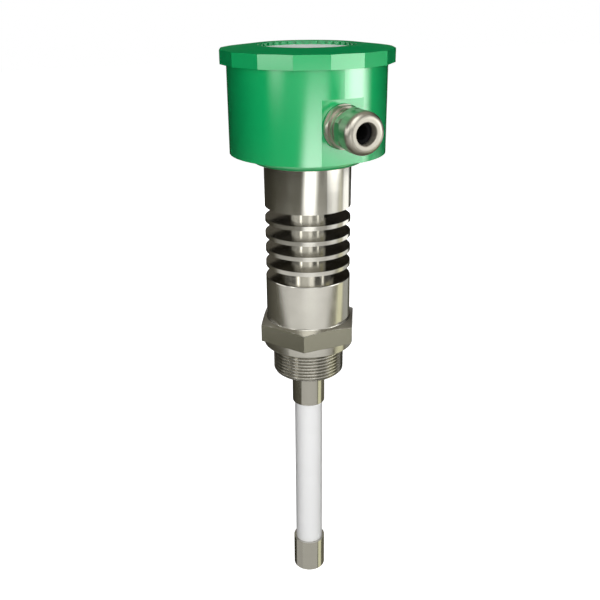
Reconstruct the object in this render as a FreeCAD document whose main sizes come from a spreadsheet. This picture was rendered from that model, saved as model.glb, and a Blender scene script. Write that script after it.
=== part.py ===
import FreeCAD, Part
import os
import re
import Sketcher

# Capacitive level gauge, in millimetres.
# The origin is the centre of the collar face that seals on the tank socket, and +Z runs up to the head.
# The cable entry points along +X.

# Driving dimensions: name, value, what it is
SIZES = (
    ("thread_radius", 23.9, "process thread, over the crests"),
    ("thread_length", 21.3, "process thread, below the sealing face"),
    ("thread_chamfer", 1.0, "lead-in of the process thread"),
    ("collar_radius", 30.15, "round collar under the hexagon"),
    ("collar_height", 5.5, "collar, above the sealing face"),
    ("hex_flats", 60.0, "wrench hexagon of the fitting, across flats"),
    ("hex_height", 11.35, "wrench hexagon, at its corners"),
    ("hex_crown", 1.75, "rise of the hexagon's top towards the round body"),
    ("hex_bevel", 0.6, "bevel between hexagon and round body"),
    ("fitting_radius", 27.9, "round body of the fitting"),
    ("fitting_length", 29.9, "round body of the fitting, above the hexagon"),
    ("chamber_radius", 14.0, "chamber in the fitting"),
    ("socket_radius", 10.0, "hole in the fitting's top that takes the neck"),
    ("socket_depth", 14.5, "hole in the fitting's top"),
    ("fin_count", 4, "cooling fins"),
    ("fin_radius", 27.75, "cooling fins"),
    ("fin_thickness", 2.7, "one fin"),
    ("fin_gap", 7.3, "clear gap between fins"),
    ("core_radius", 12.1, "thin core that carries the fins"),
    ("foot_radius", 17.5, "thick foot of the core, on the fitting"),
    ("neck_radius", 27.8, "drum above the fins"),
    ("neck_length", 27.7, "drum above the fins"),
    ("neck_bore", 6.5, "hole down the neck for the lead"),
    ("stub_radius", 14.95, "threaded stub on top of the neck"),
    ("stub_reach", 1.6, "stub past its lock nut"),
    ("lock_nut_flats", 38.0, "lock nut in the housing, across flats"),
    ("lock_nut_height", 6.0, "lock nut in the housing"),
    ("neck_gasket_thickness", 0.8, "gasket between neck and housing"),
    ("neck_gasket_inset", 0.8, "gasket edge inside the neck's edge"),
    ("boss_radius", 36.0, "round boss under the housing"),
    ("boss_height", 5.9, "round boss under the housing"),
    ("boss_fillet", 3.0, "lower edge of the boss"),
    ("housing_radius", 48.75, "housing, outside"),
    ("housing_height", 53.35, "housing above its boss"),
    ("housing_wall", 6.25, "housing wall"),
    ("floor_thickness", 4.0, "housing floor outside the boss"),
    ("flat_cut", 1.85, "milled flat of the cable entry, deep at its middle"),
    ("flat_rise", 15.45, "flat above the cable entry's axis"),
    ("entry_rise", 21.8, "cable entry's axis above the housing's underside"),
    ("entry_radius", 10.0, "cable entry hole"),
    ("pad_reach", 3.0, "inner pad round the cable entry, out of the wall"),
    ("pad_half_width", 13.0, "inner pad round the cable entry"),
    ("cover_gap", 0.3, "between housing rim and cover"),
    ("groove_inset", 1.8, "seal groove under the cover's rim, from the housing's inside"),
    ("groove_width", 2.4, "seal groove under the cover's rim"),
    ("groove_depth", 1.6, "seal groove under the cover's rim"),
    ("seal_side_gap", 0.3, "cover seal to the groove's sides"),
    ("seal_end_gap", 0.1, "cover seal to the housing rim"),
    ("facet_count", 16, "sides of the cover's rim"),
    ("rim_corner", 53.06, "corners of the cover's rim"),
    ("rim_height", 8.05, "cover's rim at its corners"),
    ("crown_rise", 2.1, "coned top of the cover"),
    ("crown_flat", 5.8, "flat top of the cover round the window opening"),
    ("spigot_wall", 7.45, "wall of the cover's threaded spigot"),
    ("cover_thread_length", 11.85, "threaded spigot of the cover"),
    ("opening_radius", 29.2, "window opening"),
    ("lip_height", 0.5, "plain lip above the splines"),
    ("lip_chamfer", 0.3, "edge of the lip"),
    ("spline_count", 36, "splines round the window opening"),
    ("spline_width", 2.05, "gap between two splines"),
    ("spline_depth", 1.4, "splines"),
    ("spline_height", 1.85, "splines"),
    ("glass_thickness", 4.0, "window glass"),
    ("window_gasket_thickness", 1.0, "gasket under the glass"),
    ("window_gasket_width", 3.7, "gasket under the glass"),
    ("window_ring_height", 5.0, "threaded ring under the gasket"),
    ("window_ring_width", 4.5, "threaded ring under the gasket"),
    ("ring_slot_width", 4.0, "key slots of the ring"),
    ("ring_slot_depth", 2.0, "key slots of the ring"),
    ("gland_flats", 24.0, "hexagon of the gland body, across flats"),
    ("gland_corner_rise", 0.9, "turned corners of the gland body, above its flats"),
    ("gland_flange_height", 1.0, "round flange behind the gland body's hexagon"),
    ("gland_washer_thickness", 0.6, "washer under the gland"),
    ("gland_hex_height", 3.8, "hexagon of the gland body with its flange"),
    ("gland_collar_radius", 11.0, "round collar of the gland body"),
    ("gland_collar_height", 3.2, "round collar of the gland body"),
    ("gland_chamfer", 1.5, "front chamfer of the gland body's hexagon, along the axis"),
    ("gland_neck_gap", 3.5, "between collar and nut"),
    ("gland_thread_radius", 10.35, "outer thread of the gland body"),
    ("gland_bore", 7.0, "bore of the gland body"),
    ("gland_body_reach", 8.0, "outer thread inside the nut"),
    ("entry_thread_tail", 1.2, "entry thread past the inner pad"),
    ("nut_hex_height", 6.0, "hexagon of the gland nut"),
    ("nut_flat_inset", 0.73, "flats of the gland nut, inside its dome"),
    ("nut_corner_rise", 0.37, "turned corners of the gland nut, outside its dome"),
    ("nut_back_chamfer", 0.6, "back chamfer of the nut's hexagon, along the axis"),
    ("nut_front_chamfer", 1.3, "front chamfer of the nut's hexagon, along the axis"),
    ("nut_length", 16.5, "gland nut"),
    ("dome_radius", 12.13, "domed front of the gland nut"),
    ("dome_fillet", 3.7, "rounding of the domed front"),
    ("nut_mouth_radius", 6.3, "mouth of the gland nut"),
    ("nut_mouth_chamfer", 0.4, "edge of the nut's mouth"),
    ("nut_front_wall", 5.3, "front wall of the gland nut, as deep as its mouth"),
    ("nut_cavity_radius", 8.7, "space in the nut for seal and slip ring"),
    ("slip_ring_thickness", 1.3, "slip ring in front of the gland seal"),
    ("slip_ring_hole", 6.6, "hole of the slip ring"),
    ("seal_hole", 4.3, "hole of the gland seal"),
    ("gland_seal_depth", 10.0, "gland seal inside the gland body"),
    ("ferrule_radius", 11.24, "upper ferrule"),
    ("ferrule_length", 25.2, "upper ferrule, below the thread"),
    ("plug_length", 15.3, "threaded plug of the ferrule, inside the fitting"),
    ("sleeve_radius", 9.75, "white sleeve"),
    ("sleeve_neck_radius", 7.95, "thinner top of the sleeve"),
    ("sleeve_seat_depth", 19.5, "sleeve's shoulder above the ferrule's lower edge"),
    ("probe_length", 168.8, "below the process thread"),
    ("tip_radius", 11.46, "tip cap"),
    ("tip_length", 25.1, "tip cap"),
    ("tip_floor", 6.1, "tip cap's floor"),
    ("tip_thread_radius", 3.95, "threaded end of the rod"),
    ("tip_thread_length", 3.8, "threaded end of the rod"),
    ("rod_radius", 5.0, "electrode rod"),
    ("rod_seal_thickness", 4.0, "seal ring above the ferrule"),
    ("bush_length", 20.0, "insulating bush"),
    ("rod_washer_radius", 9.0, "washer under the rod nut"),
    ("rod_washer_thickness", 1.5, "washer under the rod nut"),
    ("rod_nut_flats", 16.0, "nuts on the rod, across flats"),
    ("rod_nut_height", 6.0, "rod nut"),
    ("jam_nut_height", 4.0, "jam nut on the rod"),
    ("rod_reach", 2.5, "rod past its jam nut"),
    ("lead_radius", 1.25, "sensor lead"),
    ("lead_bend", 7.0, "radius of the lead's bend"),
    ("lead_socket", 4.5, "lead inside the rod's end"),
    ("lead_rise", 4.4, "straight lead above the board"),
    ("pin_radius", 0.8, "lead pin through the board"),
    ("pin_cup_radius", 1.9, "cup of the lead pin"),
    ("pin_height", 3.5, "lead pin above the board"),
    ("pin_cup_depth", 1.6, "lead inside the pin's cup"),
    ("board_inset", 6.0, "main board's edge, from the housing's inside"),
    ("board_thickness", 1.6, "main board"),
    ("board_hole", 4.0, "hole in the board for the lead"),
    ("pillar_inset", 11.5, "pillars, from the housing's inside"),
    ("pillar_count", 3, "pillars"),
    ("pillar_flats", 7.0, "pillars, across flats"),
    ("pillar_height", 10.8, "lower pillars"),
    ("stud_radius", 1.95, "studs of the lower pillars"),
    ("stud_length", 5.5, "studs of the lower pillars, in the floor"),
    ("stud_top_length", 5.0, "studs of the lower pillars, above the floor side"),
    ("plate_inset", 4.5, "front plate's edge, from the housing's inside"),
    ("plate_thickness", 1.6, "front plate"),
    ("plate_clearance", 1.0, "front plate below the cover's spigot"),
    ("screw_radius", 1.5, "plate screws"),
    ("screw_length", 6.0, "plate screws, below the head"),
    ("screw_head_radius", 2.8, "heads of the plate screws"),
    ("screw_head_height", 1.9, "heads of the plate screws"),
    ("lens_radius", 2.5, "indicator lenses"),
    ("lens_flange", 3.0, "flange of an indicator lens"),
    ("lens_flange_height", 1.2, "flange of an indicator lens"),
    ("lens_rise", 1.6, "indicator lens above the plate"),
    ("lens_distance", 12.0, "indicator lenses, from the axis"),
    ("lens_spacing", 14.0, "between the two lenses"),
    ("block_distance", 9.0, "terminal block, from the axis"),
    ("block_depth", 12.0, "terminal block"),
    ("block_height", 11.0, "terminal block"),
    ("way_pitch", 7.0, "ways of the terminal block"),
    ("way_count", 5, "ways of the terminal block"),
    ("well_radius", 2.3, "screw wells of the terminal block"),
    ("well_depth", 5.5, "screw wells of the terminal block"),
    ("way_mouth", 4.0, "wire mouths of the terminal block"),
    ("terminal_screw_height", 2.5, "terminal screws"),
    ("screw_slot_width", 0.8, "slots of the screws"),
    ("screw_slot_depth", 0.9, "slots of the screws"),
    ("can_length", 17.0, "shield can and relay, along the board"),
    ("can_width", 16.0, "shield can"),
    ("can_height", 7.0, "shield can"),
    ("relay_width", 15.0, "relay"),
    ("relay_height", 12.0, "relay"),
    ("can_distance", 24.0, "far edge of can and relay, from the axis"),
    ("can_spread", 8.5, "shield can and relay, from the middle line"),
    ("ground_inset", 12.5, "ground screw, from the housing's inside"),
    ("ground_screw_radius", 2.0, "ground screw"),
    ("ground_screw_length", 4.5, "ground screw in the floor"),
    ("ground_head_radius", 3.6, "head of the ground screw"),
    ("ground_head_height", 2.4, "head of the ground screw"),
    ("ground_washer_radius", 4.6, "washer of the ground screw"),
    ("ground_washer_thickness", 1.2, "washer of the ground screw"),
    ("running_gap", 0.05, "radial gap of a threaded or sliding fit"),
    ("insert_gap", 0.1, "gap round a piece that is pushed into its place"),
    ("loose_gap", 0.3, "gap round a piece that only lies in its place"),
)
VALUES = {name: value for name, value, note in SIZES}

# Heights over the sealing face and other sizes that follow from the ones above
DERIVED = {
    "thread_bottom": "0 - thread_length",
    "cavity_radius": "housing_radius - housing_wall",
    "flat_distance": "housing_radius - flat_cut",
    "pad_distance": "cavity_radius - pad_reach",
    "groove_inner": "cavity_radius + groove_inset",
    "groove_outer": "groove_inner + groove_width",
    "cover_thread_radius": "cavity_radius - running_gap",
    "recess_radius": "cover_thread_radius - spigot_wall",
    "pillar_circle": "cavity_radius - pillar_inset",
    "ground_distance": "cavity_radius - ground_inset",
    "board_radius": "cavity_radius - board_inset",
    "plate_radius": "cavity_radius - plate_inset",
    "hex_corner": "hex_flats / 2 / cos(30 deg)",
    "hex_top": "collar_height + hex_height",
    "fitting_top": "hex_top + hex_crown + fitting_length",
    "chamber_top": "fitting_top - socket_depth",
    "fin_pitch": "fin_gap + fin_thickness",
    "neck_bottom": "fitting_top + fin_count * fin_pitch + fin_gap",
    "neck_top": "neck_bottom + neck_length",
    "boss_bottom": "neck_top + neck_gasket_thickness",
    "housing_bottom": "boss_bottom + boss_height",
    "floor_top": "housing_bottom + floor_thickness",
    "stub_top": "floor_top + lock_nut_height + stub_reach",
    "entry_level": "housing_bottom + entry_rise",
    "flat_top": "entry_level + flat_rise",
    "housing_top": "housing_bottom + housing_height",
    "cover_bottom": "housing_top + cover_gap",
    "rim_top": "cover_bottom + rim_height",
    "crown_top": "rim_top + crown_rise",
    "cover_thread_bottom": "cover_bottom - cover_thread_length",
    "spline_top": "crown_top - lip_height",
    "glass_top": "spline_top - spline_height",
    "glass_radius": "recess_radius - loose_gap",
    "glass_bottom": "glass_top - glass_thickness",
    "window_gasket_bottom": "glass_bottom - window_gasket_thickness",
    "window_ring_bottom": "window_gasket_bottom - window_ring_height",
    "gland_corner": "gland_flats / 2 / cos(30 deg)",
    "gland_turned": "gland_flats / 2 + gland_corner_rise",
    "gland_face": "flat_distance + gland_washer_thickness",
    "gland_hex_end": "gland_face + gland_hex_height",
    "gland_collar_end": "gland_hex_end + gland_collar_height",
    "nut_back": "gland_collar_end + gland_neck_gap",
    "nut_hex_end": "nut_back + nut_hex_height",
    "nut_front": "nut_back + nut_length",
    "nut_flat_distance": "dome_radius - nut_flat_inset",
    "nut_corner": "nut_flat_distance / cos(30 deg)",
    "nut_turned": "dome_radius + nut_corner_rise",
    "nut_shoulder": "nut_front - nut_front_wall",
    "gland_mouth": "nut_back + gland_body_reach",
    "slip_ring_front": "nut_shoulder - insert_gap",
    "slip_ring_back": "slip_ring_front - slip_ring_thickness",
    "plug_top": "thread_bottom + plug_length",
    "ferrule_bottom": "thread_bottom - ferrule_length",
    "sleeve_shoulder": "ferrule_bottom + sleeve_seat_depth",
    "tip_bottom": "thread_bottom - probe_length",
    "tip_top": "tip_bottom + tip_length",
    "tip_floor_top": "tip_bottom + tip_floor",
    "rod_seal_top": "plug_top + rod_seal_thickness",
    "bush_top": "rod_seal_top + bush_length",
    "rod_washer_top": "bush_top + rod_washer_thickness",
    "rod_nut_top": "rod_washer_top + rod_nut_height",
    "jam_nut_top": "rod_nut_top + jam_nut_height",
    "rod_top": "jam_nut_top + rod_reach",
    "board_bottom": "floor_top + pillar_height",
    "board_top": "board_bottom + board_thickness",
    "plate_top": "cover_thread_bottom - plate_clearance",
    "plate_bottom": "plate_top - plate_thickness",
    "lead_bend_level": "board_top + lead_rise",
    "block_top": "board_top + block_height",
    "block_middle": "block_distance + block_depth / 2",
}
WORD = re.compile("[a-z_]+")

doc = FreeCAD.newDocument("level_gauge")
parts = []


def make_sheet():
    """The driving dimensions, one per row, with their names as aliases."""
    sheet = doc.addObject("Spreadsheet::Sheet", "Sizes")
    for row, (name, value, note) in enumerate(SIZES, start=1):
        sheet.set("A%d" % row, name)
        sheet.set("B%d" % row, str(value))
        sheet.set("C%d" % row, note)
        sheet.setAlias("B%d" % row, name)
    doc.recompute()


def bind(text):
    """A formula in plain size names, rewritten to read the sheet."""
    def swap(match):
        word = match.group(0)
        if word in DERIVED:
            return "(" + bind(DERIVED[word]) + ")"
        if word in VALUES:
            return "Sizes." + word
        return word
    return WORD.sub(swap, str(text))


def new_part(name, several=False):
    body = doc.addObject("PartDesign::Body", name)
    body.Label = name
    body.AllowCompound = several
    parts.append(body)
    return body


def new_sketch(body, name, plane, level="0"):
    """A sketch on one of the body's own origin planes, moved along the plane's normal."""
    sketch = body.newObject("Sketcher::SketchObject", name)
    support = next(item for item in body.Origin.OriginFeatures if item.Role == plane)
    sketch.AttachmentSupport = (support, "")
    sketch.MapMode = "FlatFace"
    sketch.setExpression("AttachmentOffset.Base.z", bind(level))
    return sketch


def pin_one_way(sketch, item, end, kind, text):
    """Hold a sketch point's x or y at a formula's value."""
    point = sketch.getPoint(item, end)
    now = point.x if kind == "DistanceX" else point.y
    index = sketch.addConstraint(Sketcher.Constraint(kind, -1, 1, item, end, now))
    sketch.setExpression("Constraints[%d]" % index, bind(text))


def pin_down(sketch, item, end, place):
    """Hold a sketch point at a place given by two formulas."""
    pin_one_way(sketch, item, end, "DistanceX", place[0])
    pin_one_way(sketch, item, end, "DistanceY", place[1])


def add_loop(sketch, corners):
    """A closed outline of straight lines through corners given as formulas."""
    first = sketch.GeometryCount
    count = len(corners)
    spots = [FreeCAD.Vector(10 + step, 10 + step * step, 0) for step in range(count)]
    for step in range(count):
        sketch.addGeometry(Part.LineSegment(spots[step], spots[(step + 1) % count]), False)
    for step in range(count):
        following = first + (step + 1) % count
        sketch.addConstraint(Sketcher.Constraint("Coincident", first + step, 2, following, 1))
    for step, corner in enumerate(corners):
        pin_down(sketch, first + step, 1, corner)


def add_circle(sketch, centre, radius):
    item = sketch.addGeometry(Part.Circle(FreeCAD.Vector(1, 1, 0), FreeCAD.Vector(0, 0, 1), 1), False)
    pin_down(sketch, item, 3, centre)
    index = sketch.addConstraint(Sketcher.Constraint("Radius", item, 1.0))
    sketch.setExpression("Constraints[%d]" % index, bind(radius))


def fill(sketch, loops):
    """Draw loops: a list of corners, or a circle as (x, y, radius)."""
    for loop in loops:
        if isinstance(loop, tuple):
            add_circle(sketch, loop[:2], loop[2])
        else:
            add_loop(sketch, loop)


def polygon(radius, count, first="0"):
    """Corners of a regular polygon; radius is to a corner, first is its angle in degrees."""
    corners = []
    for step in range(count):
        angle = "((%s) + 360 / %d * %d) * 1 deg" % (first, count, step)
        corners.append(("(%s) * cos(%s)" % (radius, angle), "(%s) * sin(%s)" % (radius, angle)))
    return corners


def shifted(corners, x, y):
    return [("%s + (%s)" % (x, a), "%s + (%s)" % (y, b)) for a, b in corners]


def rectangle(low_x, low_y, high_x, high_y):
    return [(low_x, low_y), (high_x, low_y), (high_x, high_y), (low_x, high_y)]


def turn(body, outline):
    """Turn a closed outline of (radius, height) about the body's Z axis."""
    sketch = new_sketch(body, body.Name + "_outline", "XZ_Plane")
    add_loop(sketch, outline)
    feature = body.newObject("PartDesign::Revolution", body.Name + "_turned")
    feature.Profile = sketch
    feature.ReferenceAxis = (sketch, ["V_Axis"])
    feature.Angle = 360
    doc.recompute()
    return feature


def raise_up(body, name, loops, level, height):
    """Pad loops upwards from a level."""
    sketch = new_sketch(body, name + "_sketch", "XY_Plane", level)
    fill(sketch, loops)
    feature = body.newObject("PartDesign::Pad", name)
    feature.Profile = sketch
    feature.setExpression("Length", bind(height))
    doc.recompute()
    return feature


def cut_down(body, name, loops, level, depth, plane="XY_Plane"):
    """Cut loops against the plane's normal from a level, and make sure that something went."""
    before = body.Shape.Volume
    sketch = new_sketch(body, name + "_sketch", plane, level)
    fill(sketch, loops)
    feature = body.newObject("PartDesign::Pocket", name)
    feature.Profile = sketch
    feature.setExpression("Length", bind(depth))
    doc.recompute()
    if not body.Shape.Volume < before:
        raise RuntimeError(name + " cuts nothing")
    return feature


def cut_flats(body, name, radius, corners, level, depth):
    """Mill a round blank down to a polygon."""
    return cut_down(body, name, [("0", "0", "(%s) * 2" % radius), corners], level, depth)


def repeat(body, feature, count):
    """Repeat a feature round the body's Z axis."""
    pattern = body.newObject("PartDesign::PolarPattern", feature.Name + "_pattern")
    pattern.Originals = [feature]
    pattern.Axis = (feature.Profile[0], ["N_Axis"])
    pattern.Angle = 360
    pattern.setExpression("Occurrences", bind(count))
    body.Tip = pattern
    doc.recompute()


def round_edges(body, name, radius, size, highest=False):
    """Fillet the lowest or highest circular edges that have this radius."""
    rings = []
    for index, edge in enumerate(body.Shape.Edges, start=1):
        curve = edge.Curve
        if isinstance(curve, Part.Circle) and abs(curve.Radius - radius) < 1e-4:
            rings.append((edge.CenterOfMass.z, "Edge%d" % index))
    if not rings:
        raise RuntimeError(name + " finds no edge")
    level = max(rings)[0] if highest else min(rings)[0]
    before = body.Tip
    feature = body.newObject("PartDesign::Fillet", name)
    feature.Base = (before, [edge for height, edge in rings if abs(height - level) < 1e-4])
    feature.setExpression("Radius", bind(size))
    doc.recompute()


def ring(name, inner, outer, low, high):
    """A plain round ring or washer."""
    body = new_part(name)
    turn(body, rectangle(inner, low, outer, high))
    return body


def hex_nut(name, flats, bore, low, height, first="0"):
    body = new_part(name)
    corner = "(%s) / 2 / cos(30 deg)" % flats
    raise_up(body, name + "_blank", [polygon(corner, 6, first), ("0", "0", bore)], low, height)
    return body


def point_along_x(body):
    """Lay a piece that was turned about Z along the cable entry's axis."""
    body.Placement = FreeCAD.Placement(FreeCAD.Vector(), FreeCAD.Rotation(FreeCAD.Vector(0, 1, 0), 90))
    body.setExpression("Placement.Base.z", bind("entry_level"))


def pillar_places():
    """Centres of the pillars, clear of the cable entry."""
    return polygon("pillar_circle", VALUES["pillar_count"], "180 / pillar_count")


def circles(places, radius):
    return [(x, y, radius) for x, y in places]


# Process fitting, neck and housing

def process_fitting():
    body = new_part("process_fitting")
    turn(body, [
        ("chamber_radius", "thread_bottom"),
        ("thread_radius - thread_chamfer", "thread_bottom"),
        ("thread_radius", "thread_bottom + thread_chamfer"),
        ("thread_radius", "0"),
        ("collar_radius", "0"),
        ("collar_radius", "collar_height"),
        ("hex_corner", "collar_height"),
        ("hex_corner", "hex_top"),
        ("fitting_radius + hex_bevel", "hex_top + hex_crown"),
        ("fitting_radius", "hex_top + hex_crown + hex_bevel"),
        ("fitting_radius", "fitting_top"),
        ("socket_radius", "fitting_top"),
        ("socket_radius", "chamber_top"),
        ("chamber_radius", "chamber_top"),
    ])
    cut_flats(body, "fitting_hexagon", "hex_corner", polygon("hex_corner", 6, "30"),
              "hex_top + hex_crown", "hex_top + hex_crown - collar_height")


def cooling_neck():
    body = new_part("cooling_neck")
    spigot = "socket_radius - running_gap"
    outline = [
        ("neck_bore", "chamber_top + loose_gap"),
        (spigot, "chamber_top + loose_gap"),
        (spigot, "fitting_top"),
    ]
    stem = "foot_radius"
    level = "fitting_top"
    for fin in range(VALUES["fin_count"]):
        low = "fitting_top + fin_gap + %d * fin_pitch" % fin
        high = low + " + fin_thickness"
        outline += [
            (stem, level),
            (stem, low),
            ("fin_radius", low),
            ("fin_radius", high),
        ]
        stem = "core_radius"
        level = high
    outline += [
        (stem, level),
        (stem, "neck_bottom"),
        ("neck_radius", "neck_bottom"),
        ("neck_radius", "neck_top"),
        ("stub_radius", "neck_top"),
        ("stub_radius", "stub_top"),
        ("neck_bore", "stub_top"),
    ]
    turn(body, outline)


def neck_gasket():
    ring("neck_gasket", "stub_radius + loose_gap", "neck_radius - neck_gasket_inset",
         "neck_top", "boss_bottom")


def lock_nut():
    hex_nut("lock_nut", "lock_nut_flats", "stub_radius + running_gap", "floor_top", "lock_nut_height", "30")


def housing():
    body = new_part("housing")
    stem_hole = "stub_radius + running_gap"
    turn(body, [
        (stem_hole, "boss_bottom"),
        ("boss_radius", "boss_bottom"),
        ("boss_radius", "housing_bottom"),
        ("housing_radius", "housing_bottom"),
        ("housing_radius", "housing_top"),
        ("cavity_radius", "housing_top"),
        ("cavity_radius", "floor_top"),
        (stem_hole, "floor_top"),
    ])
    round_edges(body, "boss_rounding", VALUES["boss_radius"], "boss_fillet")
    cut_down(body, "entry_flat",
             [rectangle("flat_distance", "0 - housing_radius", "housing_radius * 2", "housing_radius")],
             "flat_top", "flat_top - housing_bottom")
    pad = rectangle("pad_distance", "0 - pad_half_width",
                    "(cavity_radius + flat_distance) / 2", "pad_half_width")
    raise_up(body, "entry_pad", [pad], "entry_level - pad_half_width", "pad_half_width * 2")
    cut_down(body, "entry_hole", [("0", "entry_level", "entry_radius")], "housing_radius",
             "housing_radius - pad_distance + 1", "YZ_Plane")
    cut_down(body, "pillar_holes", circles(pillar_places(), "stud_radius + running_gap"),
             "floor_top", "stud_length + 1")
    cut_down(body, "ground_hole", [("ground_distance", "0", "ground_screw_radius + running_gap")],
             "floor_top", "ground_screw_length + 1")


# Cover with its window

def cover():
    body = new_part("cover")
    turn(body, [
        ("recess_radius", "cover_thread_bottom"),
        ("cover_thread_radius", "cover_thread_bottom"),
        ("cover_thread_radius", "cover_bottom"),
        ("rim_corner", "cover_bottom"),
        ("rim_corner", "rim_top"),
        ("opening_radius + crown_flat", "crown_top"),
        ("opening_radius + lip_chamfer", "crown_top"),
        ("opening_radius", "crown_top - lip_chamfer"),
        ("opening_radius", "glass_top"),
        ("recess_radius", "glass_top"),
    ])
    half_facet = "180 / facet_count"
    cut_flats(body, "rim_facets", "rim_corner", polygon("rim_corner", VALUES["facet_count"], half_facet),
              "crown_top", "crown_top - cover_bottom")
    cut_down(body, "seal_groove", [("0", "0", "groove_outer"), ("0", "0", "groove_inner")],
             "cover_bottom + groove_depth", "groove_depth")
    gap = rectangle("opening_radius - 1", "0 - spline_width / 2",
                    "opening_radius + spline_depth", "spline_width / 2")
    first = cut_down(body, "spline_gap", [gap], "spline_top", "spline_height")
    repeat(body, first, "spline_count")


def window():
    glass = new_part("window_glass")
    turn(glass, rectangle("0", "glass_bottom", "glass_radius", "glass_top"))
    ring("window_gasket", "glass_radius - window_gasket_width", "glass_radius",
         "window_gasket_bottom", "glass_bottom")
    holder = ring("window_ring", "recess_radius - window_ring_width", "recess_radius - running_gap",
                  "window_ring_bottom", "window_gasket_bottom")
    slots = rectangle("0 - recess_radius - 1", "0 - ring_slot_width / 2",
                      "recess_radius + 1", "ring_slot_width / 2")
    cut_down(holder, "ring_slots", [slots], "window_ring_bottom + ring_slot_depth", "ring_slot_depth")


def cover_seal():
    ring("cover_seal", "groove_inner + seal_side_gap", "groove_outer - seal_side_gap",
         "housing_top + seal_end_gap", "cover_bottom + groove_depth")


# Cable gland, turned about Z and then laid along +X; its heights are distances from the housing's axis

def gland_washer():
    body = ring("gland_washer", "entry_radius + loose_gap", "gland_flats / 2",
                "flat_distance", "gland_face")
    point_along_x(body)


def gland_body():
    body = new_part("gland_body")
    entry_thread = "entry_radius - running_gap"
    turn(body, [
        ("gland_bore", "pad_distance - entry_thread_tail"),
        (entry_thread, "pad_distance - entry_thread_tail"),
        (entry_thread, "gland_face"),
        ("gland_turned", "gland_face"),
        ("gland_turned", "gland_hex_end - gland_chamfer"),
        ("gland_flats / 2", "gland_hex_end"),
        ("gland_collar_radius", "gland_hex_end"),
        ("gland_collar_radius", "gland_collar_end"),
        ("gland_thread_radius", "gland_collar_end"),
        ("gland_thread_radius", "gland_mouth"),
        ("gland_bore", "gland_mouth"),
    ])
    cut_flats(body, "gland_hexagon", "gland_corner", polygon("gland_corner", 6, "30"),
              "gland_hex_end", "gland_hex_height - gland_flange_height")
    point_along_x(body)


def gland_seal():
    body = new_part("gland_seal")
    turn(body, [
        ("seal_hole", "gland_mouth - gland_seal_depth"),
        ("gland_bore - insert_gap", "gland_mouth - gland_seal_depth"),
        ("gland_bore - insert_gap", "gland_mouth"),
        ("nut_cavity_radius - loose_gap", "gland_mouth"),
        ("nut_cavity_radius - loose_gap", "slip_ring_back - insert_gap"),
        ("seal_hole", "slip_ring_back - insert_gap"),
    ])
    point_along_x(body)


def gland_slip_ring():
    body = ring("gland_slip_ring", "slip_ring_hole", "nut_cavity_radius - loose_gap",
                "slip_ring_back", "slip_ring_front")
    point_along_x(body)


def gland_nut():
    body = new_part("gland_nut")
    thread = "gland_thread_radius + running_gap"
    turn(body, [
        (thread, "nut_back"),
        ("nut_flat_distance", "nut_back"),
        ("nut_turned", "nut_back + nut_back_chamfer"),
        ("nut_turned", "nut_hex_end - nut_front_chamfer"),
        ("dome_radius", "nut_hex_end"),
        ("dome_radius", "nut_front"),
        ("nut_mouth_radius + nut_mouth_chamfer", "nut_front"),
        ("nut_mouth_radius", "nut_front - nut_mouth_chamfer"),
        ("nut_mouth_radius", "nut_shoulder"),
        ("nut_cavity_radius", "nut_shoulder"),
        ("nut_cavity_radius", "gland_mouth + loose_gap"),
        (thread, "gland_mouth + loose_gap"),
    ])
    round_edges(body, "nut_dome", VALUES["dome_radius"], "dome_fillet", highest=True)
    cut_flats(body, "nut_hexagon", "nut_corner", polygon("nut_corner", 6),
              "nut_hex_end", "nut_hex_height")
    point_along_x(body)


# Probe

def upper_ferrule():
    body = new_part("upper_ferrule")
    seat = "sleeve_radius + running_gap"
    throat = "sleeve_neck_radius + running_gap"
    plug = "chamber_radius - running_gap"
    turn(body, [
        (seat, "ferrule_bottom"),
        ("ferrule_radius", "ferrule_bottom"),
        ("ferrule_radius", "thread_bottom"),
        (plug, "thread_bottom"),
        (plug, "plug_top"),
        (throat, "plug_top"),
        (throat, "sleeve_shoulder"),
        (seat, "sleeve_shoulder"),
    ])


def rod_sleeve():
    body = new_part("rod_sleeve")
    bore = "rod_radius + running_gap"
    turn(body, [
        (bore, "tip_floor_top"),
        ("sleeve_radius", "tip_floor_top"),
        ("sleeve_radius", "sleeve_shoulder"),
        ("sleeve_neck_radius", "sleeve_shoulder"),
        ("sleeve_neck_radius", "plug_top"),
        (bore, "plug_top"),
    ])


def tip_cap():
    body = new_part("tip_cap")
    seat = "sleeve_radius + running_gap"
    tapping = "tip_thread_radius + running_gap"
    tapping_end = "tip_floor_top - tip_thread_length - loose_gap"
    turn(body, [
        ("0", "tip_bottom"),
        ("tip_radius", "tip_bottom"),
        ("tip_radius", "tip_top"),
        (seat, "tip_top"),
        (seat, "tip_floor_top"),
        (tapping, "tip_floor_top"),
        (tapping, tapping_end),
        ("0", tapping_end),
    ])


def electrode_rod():
    body = new_part("electrode_rod")
    socket = "lead_radius + running_gap"
    turn(body, [
        ("0", "tip_floor_top - tip_thread_length"),
        ("tip_thread_radius", "tip_floor_top - tip_thread_length"),
        ("tip_thread_radius", "tip_floor_top"),
        ("rod_radius", "tip_floor_top"),
        ("rod_radius", "rod_top"),
        (socket, "rod_top"),
        (socket, "rod_top - lead_socket"),
        ("0", "rod_top - lead_socket"),
    ])


def rod_fixings():
    bore = "rod_radius + running_gap"
    chamber = "chamber_radius - insert_gap"
    ring("rod_seal", bore, chamber, "plug_top", "rod_seal_top")
    ring("insulating_bush", bore, chamber, "rod_seal_top", "bush_top")
    ring("rod_washer", bore, "rod_washer_radius", "bush_top", "rod_washer_top")
    hex_nut("rod_nut", "rod_nut_flats", bore, "rod_washer_top", "rod_nut_height")
    hex_nut("rod_jam_nut", "rod_nut_flats", bore, "rod_nut_top", "jam_nut_height", "15")


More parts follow.
